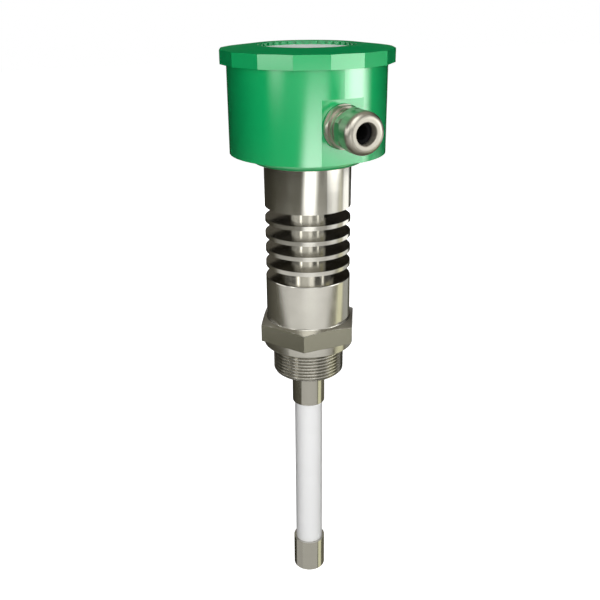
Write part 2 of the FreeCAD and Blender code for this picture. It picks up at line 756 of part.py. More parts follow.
# Sensor lead: straight up the neck, over one round bend and down on its pin

def sensor_lead():
    body = new_part("sensor_lead")
    start = ("0", "rod_top - lead_socket")
    bend_start = ("0", "lead_bend_level")
    bend_end = ("0 - lead_bend * 2", "lead_bend_level")
    finish = ("0 - lead_bend * 2", "board_top + pin_height - pin_cup_depth")
    path = new_sketch(body, "lead_path", "XZ_Plane")
    radius = VALUES["lead_bend"]
    up = path.addGeometry(Part.LineSegment(FreeCAD.Vector(0, -9, 0), FreeCAD.Vector(0, 0, 0)), False)
    circle = Part.Circle(FreeCAD.Vector(-radius, 0, 0), FreeCAD.Vector(0, 0, 1), radius)
    bend = path.addGeometry(Part.ArcOfCircle(circle, 0, 3.141592653589793), False)
    down = path.addGeometry(
        Part.LineSegment(FreeCAD.Vector(-2 * radius, 0, 0), FreeCAD.Vector(-2 * radius, -9, 0)), False)
    pin_down(path, up, 1, start)
    pin_down(path, up, 2, bend_start)
    pin_down(path, down, 1, bend_end)
    pin_down(path, down, 2, finish)
    path.addConstraint(Sketcher.Constraint("Coincident", up, 2, bend, 1))
    path.addConstraint(Sketcher.Constraint("Coincident", bend, 2, down, 1))
    pin_one_way(path, bend, 3, "DistanceY", "lead_bend_level")
    section = new_sketch(body, "lead_section", "XY_Plane", start[1])
    add_circle(section, ("0", "0"), "lead_radius")
    doc.recompute()
    pipe = body.newObject("PartDesign::AdditivePipe", "lead_pipe")
    pipe.Profile = section
    pipe.Spine = (path, ["Edge1", "Edge2", "Edge3"])
    doc.recompute()


def lead_pin():
    body = new_part("lead_pin")
    cup = "lead_radius + running_gap"
    cup_floor = "board_top + pin_height - pin_cup_depth"
    turn(body, [
        ("0", "board_bottom - pin_cup_depth"),
        ("pin_radius", "board_bottom - pin_cup_depth"),
        ("pin_radius", "board_top"),
        ("pin_cup_radius", "board_top"),
        ("pin_cup_radius", "board_top + pin_height"),
        (cup, "board_top + pin_height"),
        (cup, cup_floor),
        ("0", cup_floor),
    ])
    body.setExpression("Placement.Base.x", bind("0 - lead_bend * 2"))


# Electronics

def main_board():
    body = new_part("main_board")
    holes = circles(pillar_places(), "stud_radius + running_gap")
    holes.append(("0", "0", "board_hole"))
    holes.append(("0 - lead_bend * 2", "0", "pin_radius + running_gap"))
    raise_up(body, "board_blank", [("0", "0", "board_radius")] + holes, "board_bottom", "board_thickness")


def lower_pillars():
    body = new_part("lower_pillars", several=True)
    corner = "pillar_flats / 2 / cos(30 deg)"
    blanks = [shifted(polygon(corner, 6), x, y) for x, y in pillar_places()]
    raise_up(body, "lower_pillar_blanks", blanks, "floor_top", "pillar_height")
    studs = circles(pillar_places(), "stud_radius")
    raise_up(body, "floor_studs", studs, "floor_top - stud_length", "stud_length")
    raise_up(body, "board_studs", studs, "board_bottom", "stud_top_length")


def upper_pillars():
    body = new_part("upper_pillars", several=True)
    corner = "pillar_flats / 2 / cos(30 deg)"
    blanks = [shifted(polygon(corner, 6), x, y) for x, y in pillar_places()]
    raise_up(body, "upper_pillar_blanks", blanks, "board_top", "plate_bottom - board_top")
    cut_down(body, "stud_sockets", circles(pillar_places(), "stud_radius + running_gap"),
             "board_top + stud_top_length", "stud_top_length")
    cut_down(body, "screw_sockets", circles(pillar_places(), "screw_radius + running_gap"),
             "plate_bottom", "screw_length")


def lens_places():
    return [("lens_distance", "0 - lens_spacing / 2"), ("lens_distance", "lens_spacing / 2")]


def front_plate():
    body = new_part("front_plate")
    holes = circles(pillar_places(), "screw_radius + running_gap")
    holes += circles(lens_places(), "lens_radius + running_gap")
    raise_up(body, "plate_blank", [("0", "0", "plate_radius")] + holes, "plate_bottom", "plate_thickness")


def plate_screws():
    body = new_part("plate_screws", several=True)
    raise_up(body, "screw_shanks", circles(pillar_places(), "screw_radius"),
             "plate_top - screw_length", "screw_length")
    raise_up(body, "screw_heads", circles(pillar_places(), "screw_head_radius"),
             "plate_top", "screw_head_height")


def indicator_lenses():
    body = new_part("indicator_lenses", several=True)
    raise_up(body, "lens_flanges", circles(lens_places(), "lens_flange"),
             "plate_bottom - lens_flange_height", "lens_flange_height")
    raise_up(body, "lens_bodies", circles(lens_places(), "lens_radius"),
             "plate_bottom", "plate_thickness + lens_rise")


def way_offsets():
    """Middle of each terminal, across the block."""
    half = (VALUES["way_count"] - 1) / 2
    return ["%.1f * way_pitch" % (way - half) for way in range(VALUES["way_count"])]


def terminal_block():
    body = new_part("terminal_block")
    half = "way_count * way_pitch / 2"
    blank = rectangle("block_distance", "0 - " + half, "block_distance + block_depth", half)
    raise_up(body, "block_blank", [blank], "board_top", "block_height")
    wells = [("block_middle", offset, "well_radius") for offset in way_offsets()]
    cut_down(body, "screw_wells", wells, "block_top", "well_depth")
    mouths = [rectangle(offset + " - way_mouth / 2", "board_top + 1", offset + " + way_mouth / 2",
                        "board_top + 1 + way_mouth") for offset in way_offsets()]
    cut_down(body, "wire_mouths", mouths, "block_distance + block_depth", "block_depth / 2", "YZ_Plane")


def terminal_screws():
    body = new_part("terminal_screws", several=True)
    places = [("block_middle", offset) for offset in way_offsets()]
    low = "block_top - well_depth"
    raise_up(body, "terminal_screw_blanks", circles(places, "well_radius - insert_gap"),
             low, "terminal_screw_height")
    slots = [rectangle("block_middle - well_radius", offset + " - screw_slot_width / 2",
                       "block_middle + well_radius", offset + " + screw_slot_width / 2")
             for offset in way_offsets()]
    cut_down(body, "terminal_screw_slots", slots, low + " + terminal_screw_height", "screw_slot_depth")


def shield_can():
    body = new_part("shield_can")
    blank = rectangle("0 - can_distance", "can_spread",
                      "can_length - can_distance", "can_spread + can_width")
    raise_up(body, "can_blank", [blank], "board_top", "can_height")


def output_relay():
    body = new_part("output_relay")
    blank = rectangle("0 - can_distance", "0 - can_spread - relay_width",
                      "can_length - can_distance", "0 - can_spread")
    raise_up(body, "relay_blank", [blank], "board_top", "relay_height")


def ground_fixing():
    washer = ring("ground_washer", "ground_screw_radius + running_gap", "ground_washer_radius",
                  "floor_top", "floor_top + ground_washer_thickness")
    screw = new_part("ground_screw")
    seat = "floor_top + ground_washer_thickness"
    turn(screw, [
        ("0", "floor_top - ground_screw_length"),
        ("ground_screw_radius", "floor_top - ground_screw_length"),
        ("ground_screw_radius", seat),
        ("ground_head_radius", seat),
        ("ground_head_radius", seat + " + ground_head_height"),
        ("0", seat + " + ground_head_height"),
    ])
    slot = rectangle("0 - ground_head_radius - 1", "0 - screw_slot_width / 2",
                     "ground_head_radius + 1", "screw_slot_width / 2")
    cut_down(screw, "ground_screw_slot", [slot], seat + " + ground_head_height", "screw_slot_depth")
    for body in (washer, screw):
        body.setExpression("Placement.Base.x", bind("ground_distance"))


def check_document():
    """Stop if a feature failed or a part has no sound solid."""
    for item in doc.Objects:
        if "Invalid" in item.State or "Error" in item.State:
            raise RuntimeError(item.Name + " failed")
    for body in parts:
        shape = body.Shape
        if shape.isNull() or not shape.isValid() or not shape.Solids:
            raise RuntimeError(body.Label + " has no valid solid")


def export_parts():
    os.makedirs("parts", exist_ok=True)
    for body in parts:
        body.Shape.exportStep("parts/%s.step" % body.Label)


make_sheet()
process_fitting()
cooling_neck()
neck_gasket()
lock_nut()
housing()
cover()
window()
cover_seal()
gland_washer()
gland_body()
gland_seal()
gland_slip_ring()
gland_nut()
upper_ferrule()
rod_sleeve()
tip_cap()
electrode_rod()
rod_fixings()
sensor_lead()
lead_pin()
main_board()
lower_pillars()
upper_pillars()
front_plate()
plate_screws()
indicator_lenses()
terminal_block()
terminal_screws()
shield_can()
output_relay()
ground_fixing()
doc.recompute()
check_document()
export_parts()
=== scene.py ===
import math

import bmesh
import bpy
from mathutils import Matrix, Vector


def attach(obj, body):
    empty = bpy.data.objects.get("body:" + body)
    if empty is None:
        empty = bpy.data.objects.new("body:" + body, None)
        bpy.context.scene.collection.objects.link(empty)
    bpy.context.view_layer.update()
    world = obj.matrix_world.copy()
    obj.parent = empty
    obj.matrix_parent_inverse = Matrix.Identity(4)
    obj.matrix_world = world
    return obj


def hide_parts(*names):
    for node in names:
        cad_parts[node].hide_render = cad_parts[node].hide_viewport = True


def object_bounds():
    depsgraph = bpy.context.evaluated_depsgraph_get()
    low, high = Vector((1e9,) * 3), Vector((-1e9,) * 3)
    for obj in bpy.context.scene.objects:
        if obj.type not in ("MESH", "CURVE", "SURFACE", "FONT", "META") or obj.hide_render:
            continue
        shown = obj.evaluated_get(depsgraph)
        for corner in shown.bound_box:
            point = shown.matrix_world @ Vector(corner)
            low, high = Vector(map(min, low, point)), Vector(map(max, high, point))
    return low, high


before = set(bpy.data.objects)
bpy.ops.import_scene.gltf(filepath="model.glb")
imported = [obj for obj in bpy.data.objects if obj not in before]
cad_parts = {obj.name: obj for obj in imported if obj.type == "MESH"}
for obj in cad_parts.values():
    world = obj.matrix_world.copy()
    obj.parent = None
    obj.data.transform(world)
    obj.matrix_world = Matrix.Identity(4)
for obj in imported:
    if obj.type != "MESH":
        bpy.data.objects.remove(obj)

# Capacitive level gauge: looks, light and camera. Metres, in the frame of the CAD model.

cad_low, cad_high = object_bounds()
MM = 0.001

# The process fitting, in millimetres: its sizes are those of the CAD model, and its thread is real
THREAD_RADIUS = 23.9
THREAD_PITCH = 25.4 / 11
THREAD_DEPTH = 1.45
THREAD_LOW = -21.3
THREAD_FADE = 1.6
THREAD_CHAMFER = 1.3
THREAD_ROWS = 300
CREST_SHARE = 0.12
COLLAR_RADIUS = 30.15
COLLAR_TOP = 5.5
COLLAR_EDGE = 0.3
HEX_HALF = 30.0
HEX_TOP = 16.85
HEX_ROUND = 0.2
CROWN_RISE = 1.75
CROWN_TOP = HEX_TOP + CROWN_RISE
CROWN_STEPS = 18
BODY_RADIUS = 27.9
COVE = 0.6
COVE_STEPS = 6
BODY_TOP = 48.5
BODY_EDGE = 0.5
SOCKET_RADIUS = 10.0
CHAMBER_RADIUS = 14.0
CHAMBER_TOP = BODY_TOP - 14.5
SHARP_RIM = 0.1
COLUMNS = 192

# The gland, in metres: height of its axis, and radius of the mouth of its nut
GLAND_Z = 0.152
MOUTH_RADIUS = 0.00645

SHARP_ANGLE = math.radians(32)


# Node helpers

class Shader:
    """A material or world with short calls to add and link nodes."""

    def __init__(self, tree):
        self.tree = tree
        self.tree.nodes.clear()

    def node(self, kind, **values):
        made = self.tree.nodes.new(kind)
        for key, value in values.items():
            setattr(made, key, value)
        return made

    def feed(self, socket, value):
        if isinstance(value, bpy.types.NodeSocket):
            self.tree.links.new(value, socket)
        else:
            socket.default_value = value

    def math(self, operation, *values):
        made = self.node("ShaderNodeMath", operation=operation)
        for socket, value in zip(made.inputs, values):
            self.feed(socket, value)
        return made.outputs[0]

    def total(self, first, second):
        return self.math("ADD", first, second)

    def product(self, first, *others):
        for other in others:
            first = self.math("MULTIPLY", first, other)
        return first

    def rising(self, value, low, high, start=0.0, end=1.0):
        """Goes smoothly from start below low to end above high."""
        made = self.node("ShaderNodeMapRange", interpolation_type="SMOOTHSTEP")
        for socket, item in zip(made.inputs, (value, low, high, start, end)):
            self.feed(socket, item)
        return made.outputs[0]

    def falling(self, value, low, high):
        """Goes smoothly from 1 below low to 0 above high."""
        return self.rising(value, low, high, 1.0, 0.0)

    def between(self, value, low, high, edge):
        """1 from low to high and 0 elsewhere; each end is a slope that reaches edge to both sides."""
        up = self.rising(value, low - edge, low + edge)
        down = self.falling(value, high - edge, high + edge)
        return self.product(up, down)

    def mix(self, factor, first, second):
        made = self.node("ShaderNodeMix", data_type="RGBA")
        self.feed(made.inputs[0], factor)
        self.feed(made.inputs[6], first)
        self.feed(made.inputs[7], second)
        return made.outputs[2]

    def noise(self, vector, scale, detail):
        made = self.node("ShaderNodeTexNoise")
        self.feed(made.inputs["Vector"], vector)
        made.inputs["Scale"].default_value = scale
        made.inputs["Detail"].default_value = detail
        return made.outputs["Fac"]

    def place(self):
        return self.node("ShaderNodeTexCoord").outputs["Object"]

    def upward(self):
        """How far the surface faces up: 1 on a top, 0 on an upright wall, -1 on an underside."""
        return self.split(self.node("ShaderNodeTexCoord").outputs["Normal"])[2]

    def split(self, vector):
        made = self.node("ShaderNodeSeparateXYZ")
        self.feed(made.inputs[0], vector)
        return made.outputs

    def join(self, x, y, z):
        made = self.node("ShaderNodeCombineXYZ")
        for socket, value in zip(made.inputs, (x, y, z)):
            self.feed(socket, value)
        return made.outputs[0]

    def bump(self, height, distance, strength=1.0):
        made = self.node("ShaderNodeBump")
        made.inputs["Distance"].default_value = distance
        made.inputs["Strength"].default_value = strength
        self.feed(made.inputs["Height"], height)
        return made.outputs[0]

    def show(self, shader, kind="ShaderNodeOutputMaterial"):
        output = self.node(kind)
        self.tree.links.new(shader.outputs[0], output.inputs[0])


def new_material(name):
    material = bpy.data.materials.new(name)
    material.use_nodes = True
    return material, Shader(material.node_tree)


def finish_material(shader, **inputs):
    """Put a Principled shader on the output; inputs are its sockets with underscores for spaces."""
    principled = shader.node("ShaderNodeBsdfPrincipled")
    for key, value in inputs.items():
        shader.feed(principled.inputs[key.replace("_", " ")], value)
    shader.show(principled)


def around_axis(shader, along_x=False):
    """Distance from the axis of a turned piece, and place along it; the gland's axis lies along X."""
    x, y, z = shader.split(shader.place())
    if along_x:
        side, height, along = y, shader.math("SUBTRACT", z, GLAND_Z), x
    else:
        side, height, along = x, y, z
    square = shader.total(shader.product(side, side), shader.product(height, height))
    return shader.math("SQRT", square), along


def tinted(base, share):
    """A colour of three numbers times share, as the four numbers of a node's colour."""
    return tuple(share * part for part in base) + (1,)


# Materials

def paint():
    """Green stoved enamel: a little mottled, with a fine peel."""
    material, s = new_material("green_enamel")
    place = s.place()
    cloud = s.noise(place, scale=45.0, detail=4.0)
    colour = s.mix(cloud, (0.0, 0.505, 0.148, 1), (0.0, 0.545, 0.160, 1))
    # the top of the cover is dull, the sides are glossy
    gloss = s.falling(s.upward(), 0.6, 0.95)
    peel = s.noise(place, scale=900.0, detail=1.0)
    rough = s.rising(s.noise(place, scale=120.0, detail=4.0), 0.3, 0.7, start=0.48, end=0.54)
    finish_material(s, Base_Color=colour, Metallic=0.45, Roughness=rough, Specular_IOR_Level=0.0,
                    Coat_Weight=gloss, Coat_Roughness=0.14, Coat_IOR=2.45,
                    Normal=s.bump(peel, distance=0.000006, strength=0.5))
    return material


def turned_metal(name, base, low, high, along_x=False, depth=0.000004, marks=None):
    """Turned bar, with fine rings of that depth round its axis and a roughness from low to high.

    marks is a function that changes the colour, roughness and rings of one piece by place.
    """
    material, s = new_material(name)
    radius, along = around_axis(s, along_x)
    turned = s.join(radius, along, 0.0)
    rings = s.noise(turned, scale=2600.0, detail=2.0)
    broad = s.noise(turned, scale=160.0, detail=3.0)
    handled = s.noise(s.place(), scale=70.0, detail=4.0)
    rough = s.total(s.rising(handled, 0.3, 0.7, start=low, end=high), s.product(broad, 0.03))
    colour = s.mix(broad, tinted(base, 0.93), tinted(base, 1.0))
    if marks:
        colour, rough, rings = marks(s, base, radius, along, colour, rough, rings)
    finish_material(s, Base_Color=colour, Metallic=1.0, Roughness=rough,
                    Normal=s.bump(rings, distance=depth))
    return material


def fitting_marks(s, base, radius, along, colour, rough, rings):
    """The process fitting: duller flats and crown on its drawn hexagon, and painted shade in the grooves
    of its thread.
    """
    upright = s.math("ABSOLUTE", s.upward())
    on_hexagon = s.between(along, COLLAR_TOP * MM, (CROWN_TOP + SHARP_RIM) * MM, SHARP_RIM * MM)
    flat = s.product(s.falling(upright, 0.02, 0.10), on_hexagon)
    colour = s.mix(flat, colour, (0.64 * base[0], 0.64 * base[1], 0.56 * base[2], 1))
    crown = s.product(s.rising(upright, 0.6, 0.9),
                      s.rising(along, (HEX_TOP - 0.85) * MM, (HEX_TOP - 0.25) * MM),
                      s.falling(along, (CROWN_TOP + COVE) * MM, (CROWN_TOP + COVE + 0.4) * MM))
    rough = s.total(rough, s.total(s.product(flat, 0.06), s.product(crown, 0.22)))
    # the rings of the lathe end where the thread begins
    rings = s.product(rings, s.rising(along, -MM, 0.0))
    # painted shade: the thread's grooves are darkened in colour by their depth, so that its ridges show
    deep, shallow = THREAD_RADIUS - 1.4, THREAD_RADIUS - 0.4
    below_thread = THREAD_RADIUS - 2.0
    groove = s.product(s.falling(radius, deep * MM, shallow * MM),
                       s.rising(radius, (below_thread - 0.1) * MM, (below_thread + 0.1) * MM),
                       s.falling(along, -MM, 0.0))
    return s.mix(groove, colour, tinted(base, 0.74)), rough, rings


def mouth_marks(s, base, radius, along, colour, rough, rings):
    """The gland nut: its narrow mouth is rough."""
    in_mouth = s.falling(radius, MOUTH_RADIUS - 0.00015, MOUTH_RADIUS + 0.00015)
    return colour, s.total(rough, s.product(in_mouth, 0.36)), rings


def white_polymer():
    """Machined fluoropolymer: milky, waxy, with faint tool marks."""
    material, s = new_material("white_polymer")
    radius, along = around_axis(s)
    marks = s.noise(s.join(radius, along, 0.0), scale=1800.0, detail=2.0)
    cloud = s.noise(s.place(), scale=60.0, detail=3.0)
    colour = s.mix(cloud, (0.89, 0.89, 0.885, 1), (0.94, 0.94, 0.935, 1))
    finish_material(s, Base_Color=colour, Roughness=0.42, Subsurface_Weight=0.8,
                    Subsurface_Radius=(0.6, 0.6, 0.6), Subsurface_Scale=0.008,
                    Normal=s.bump(marks, distance=0.000006, strength=0.6))
    return material


def window_pane():
    """Toughened glass: clear from above, pale and hazy at a flat angle."""
    material, s = new_material("window_pane")
    weight = s.node("ShaderNodeLayerWeight")
    weight.inputs["Blend"].default_value = 0.5
    flat_view = s.rising(weight.outputs["Facing"], 0.45, 0.8)
    haze = s.rising(s.noise(s.place(), scale=900.0, detail=3.0), 0.3, 0.7, start=0.04, end=0.08)
    rough = s.total(haze, s.product(flat_view, 0.38))
    alpha = s.math("MULTIPLY_ADD", flat_view, 0.75, 0.2)
    finish_material(s, Base_Color=(0.86, 0.88, 0.88, 1), Roughness=rough, Alpha=alpha, IOR=1.5,
                    Specular_IOR_Level=0.25, Sheen_Weight=0.75, Sheen_Roughness=0.3)
    return material


def rubber():
    """Black rubber with a dull grain."""
    material, s = new_material("black_rubber")
    grain = s.noise(s.place(), scale=2500.0, detail=3.0)
    colour = s.mix(grain, (0.004, 0.004, 0.004, 1), (0.009, 0.009, 0.0095, 1))
    finish_material(s, Base_Color=colour, Roughness=0.8, Specular_IOR_Level=0.1,
                    Normal=s.bump(grain, distance=0.00002, strength=0.5))
    return material


def plastic(name, first, second, rough):
    """Moulded plastic whose fine grain goes from the first colour to the second."""
    material, s = new_material(name)
    grain = s.noise(s.place(), scale=400.0, detail=4.0)
    colour = s.mix(grain, first + (1,), second + (1,))
    finish_material(s, Base_Color=colour, Roughness=rough,
                    Normal=s.bump(grain, distance=0.00001, strength=0.4))
    return material


def circuit_board():
    """Solder mask over copper tracks: lighter bands where the copper lies below."""
    material, s = new_material("circuit_board")
    place = s.place()
    wander = s.product(s.noise(place, scale=90.0, detail=3.0), 0.006)
    across = s.total(s.split(place)[0], wander)
    wave = s.math("SINE", s.product(across, 2500.0))
    tracks = s.rising(wave, 0.5, 0.8)
    colour = s.mix(tracks, (0.006, 0.05, 0.02, 1), (0.012, 0.11, 0.045, 1))
    finish_material(s, Base_Color=colour, Roughness=0.3,
                    Normal=s.bump(tracks, distance=0.00003, strength=0.5))
    return material


# The process fitting with its real thread

def thread_radius(z, angle):
    """Rounded pipe thread, right-handed, fading out below the collar and chamfered at its lower end."""
    turn = (z / THREAD_PITCH - angle / math.tau) % 1.0
    wave = 0.5 - 0.5 * math.cos(math.tau * turn)
    groove = min(1.0, max(0.0, (wave - CREST_SHARE) / (1 - 2 * CREST_SHARE)))
    fade = min(1.0, max(0.0, (-THREAD_FADE - z) / THREAD_FADE))
    radius = THREAD_RADIUS - THREAD_DEPTH * groove * fade
    return min(radius, THREAD_RADIUS - THREAD_CHAMFER + (z - THREAD_LOW))


def hexagon_radius(angle, half):
    """Distance to the side of a hexagon with rounded corners; flats face along X."""
    sector = math.radians(60)
    offset = abs((angle + sector / 2) % sector - sector / 2)
    straight = (half - HEX_ROUND) * math.tan(sector / 2)
    if half * math.tan(offset) <= straight:
        return half / math.cos(offset)
    centre = (half - HEX_ROUND) / math.cos(sector / 2)
    swing = sector / 2 - offset
    return centre * math.cos(swing) + math.sqrt(HEX_ROUND ** 2 - (centre * math.sin(swing)) ** 2)


def round_row(z, radius):
    return z, lambda angle: radius


def hexagon_row(z, half, limit=math.inf):
    return z, lambda angle: min(hexagon_radius(angle, half), limit)


def fitting_rows():
    """Rows all round the section, from the thread's lower end up and back down the bore.

    A row is its height and its radius as a function of the angle.
    """
    rows = []
    for step in range(THREAD_ROWS + 1):
        z = THREAD_LOW * (1 - step / THREAD_ROWS)
        rows.append((z, lambda angle, z=z: thread_radius(z, angle)))
    rows.append(round_row(0.0, COLLAR_RADIUS - COLLAR_EDGE))
    rows.append(round_row(0.3 * COLLAR_EDGE, COLLAR_RADIUS - 0.3 * COLLAR_EDGE))
    rows.append(round_row(COLLAR_EDGE, COLLAR_RADIUS))
    rows.append(round_row(COLLAR_EDGE + SHARP_RIM, COLLAR_RADIUS))
    rows.append(round_row(COLLAR_TOP, COLLAR_RADIUS))
    rows.append(hexagon_row(COLLAR_TOP, HEX_HALF - SHARP_RIM))
    rows.append(hexagon_row(COLLAR_TOP + SHARP_RIM, HEX_HALF))
    corner = HEX_HALF / math.cos(math.radians(30))
    crown_radius = BODY_RADIUS + COVE
    for step in range(CROWN_STEPS + 1):
        share = step / CROWN_STEPS
        limit = corner + (crown_radius - corner) * share
        rows.append(hexagon_row(HEX_TOP + CROWN_RISE * share, HEX_HALF, limit))
    for step in range(1, COVE_STEPS + 1):
        swing = math.radians(90) * step / COVE_STEPS
        z = CROWN_TOP + COVE * (1 - math.cos(swing))
        rows.append(round_row(z, BODY_RADIUS + COVE * (1 - math.sin(swing))))
    rows.append(round_row(CROWN_TOP + COVE + SHARP_RIM, BODY_RADIUS))
    rows.append(round_row(BODY_TOP - BODY_EDGE - SHARP_RIM, BODY_RADIUS))
    rows.append(round_row(BODY_TOP - BODY_EDGE, BODY_RADIUS))
    rows.append(round_row(BODY_TOP - 0.3 * BODY_EDGE, BODY_RADIUS - 0.3 * BODY_EDGE))
    rows.append(round_row(BODY_TOP, BODY_RADIUS - BODY_EDGE))
    rows.append(round_row(BODY_TOP, BODY_RADIUS - BODY_EDGE - SHARP_RIM))
    rows.append(round_row(BODY_TOP, SOCKET_RADIUS))
    rows.append(round_row(CHAMBER_TOP, SOCKET_RADIUS))
    rows.append(round_row(CHAMBER_TOP, CHAMBER_RADIUS))
    rows.append(round_row(THREAD_LOW, CHAMBER_RADIUS))
    return rows


def lathe(name, rows):
    """A ring-shaped mesh from rows in millimetres, the last of which joins the first."""
    bm = bmesh.new()
    rings = []
    for z, radius in rows:
        ring = []
        for column in range(COLUMNS):
            angle = math.tau * column / COLUMNS
            r = radius(angle)
            ring.append(bm.verts.new((r * math.cos(angle) * MM, r * math.sin(angle) * MM, z * MM)))
        rings.append(ring)
    for low, high in zip(rings, rings[1:] + rings[:1]):
        for column in range(COLUMNS):
            after = (column + 1) % COLUMNS
            bm.faces.new((low[column], low[after], high[after], high[column]))
    mesh = bpy.data.meshes.new(name)
    bm.normal_update()
    bm.to_mesh(mesh)
    bm.free()
    piece = bpy.data.objects.new(name, mesh)
    bpy.context.scene.collection.objects.link(piece)
    return piece


def smooth_by_angle(piece, weight=100):
    """Smooth shading with sharp edges kept; a weight of 100 keeps long faces flat at small roundings."""
    mesh = piece.data
    mesh.polygons.foreach_set("use_smooth", [True] * len(mesh.polygons))
    mesh.set_sharp_from_angle(angle=SHARP_ANGLE)
    even = piece.modifiers.new("even_normals", "WEIGHTED_NORMAL")
    even.keep_sharp = True
    even.weight = weight


def threaded_fitting(material):
    """The process fitting with its thread, in the place of the CAD piece."""
    piece = lathe("threaded_fitting", fitting_rows())
    smooth_by_angle(piece, weight=50)
    # the turns are rounded, so no edge of theirs is sharp
    margin = 0.03
    for edge in piece.data.edges:
        heights = [piece.data.vertices[index].co.z / MM for index in edge.vertices]
        if THREAD_LOW + margin < min(heights) and max(heights) < -margin:
            edge.use_edge_sharp = False
    piece.data.materials.append(material)
    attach(piece, "head")
    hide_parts("process_fitting")


# Studio: azimuths are in degrees round the object from the camera's side, growing to the right

CAMERA_AZIMUTH = math.radians(-25.45)
CAMERA = {"distance": 0.49110, "height": 0.22841, "lens": 47.012,
          "pitch": 0.3858977, "roll": -0.0089047, "yaw": -0.0111946}
# Rises in degrees: the fitting mirrors what is below NECK_LOW, and the neck what is below NECK_HIGH
FLOOR_LOW, CARD_MIDDLE, NECK_LOW, NECK_HIGH, HEAD_LOW = -25.5, -22.8, -18.3, -12.3, -12.5
FLOOR_Z = cad_low[2] - 0.0002
FLOOR_HALF = 4.0
LAMP_DISTANCE = 1.2
LAMP_TARGET = Vector((0, 0, 0.05))


def make_camera():
    """The photograph's camera, a little above the head and looking down on it."""
    right = Vector((-math.sin(CAMERA_AZIMUTH), math.cos(CAMERA_AZIMUTH), 0))
    away = -Vector((math.cos(CAMERA_AZIMUTH), math.sin(CAMERA_AZIMUTH), 0))
    up = Vector((0, 0, 1))
    c, s = math.cos(CAMERA["yaw"]), math.sin(CAMERA["yaw"])
    across, ahead = c * right - s * away, s * right + c * away
    c, s = math.cos(CAMERA["pitch"]), math.sin(CAMERA["pitch"])
    look, top = c * ahead - s * up, s * ahead + c * up
    c, s = math.cos(CAMERA["roll"]), math.sin(CAMERA["roll"])
    image_right, image_up = c * across + s * top, c * top - s * across
    data = bpy.data.cameras.new("photo_camera")
    data.sensor_width = 36.0
    data.lens = CAMERA["lens"]
    data.clip_start = 0.01
    data.clip_end = 50.0
    camera = bpy.data.objects.new("photo_camera", data)
    place = -CAMERA["distance"] * away + CAMERA["height"] * up
    turn = Matrix((image_right, image_up, -look)).transposed().to_4x4()
    camera.matrix_world = Matrix.Translation(place) @ turn
    bpy.context.scene.collection.objects.link(camera)
    bpy.context.scene.camera = camera


class Sky(Shader):
    """The world's nodes, with the azimuth and rise in degrees of the direction that is looked at."""

    def __init__(self, tree):
        super().__init__(tree)
        x, y, z = self.split(self.node("ShaderNodeTexCoord").outputs["Generated"])
        c, n = math.cos(CAMERA_AZIMUTH), math.sin(CAMERA_AZIMUTH)
        toward = self.total(self.product(x, c), self.product(y, n))
        aside = self.total(self.product(x, -n), self.product(y, c))
        self.azimuth = self.product(self.math("ARCTAN2", aside, toward), 180 / math.pi)
        self.rise = self.product(self.math("ARCSINE", z), 180 / math.pi)

    def panel(self, left, right, low, high, edge=3.0, rise_edge=1.5, spread=0.0, lean=0.0):
        """1 inside an area; spread widens it above CARD_MIDDLE, lean moves it to the right above low."""
        turned = self.azimuth
        if spread:
            width = self.math("MULTIPLY_ADD", self.rise, spread, 1 - CARD_MIDDLE * spread)
            turned = self.math("DIVIDE", turned, width)
        if lean:
            shift = self.math("MULTIPLY_ADD", self.rise, lean, -low * lean)
            turned = self.math("SUBTRACT", turned, shift)
        within = self.between(turned, left, right, edge)
        return self.product(within, self.between(self.rise, low, high, rise_edge))

    def behind(self, start, end):
        """1 where the direction is more than end degrees off the camera's side, 0 below start."""
        return self.rising(self.math("ABSOLUTE", self.azimuth), start, end)


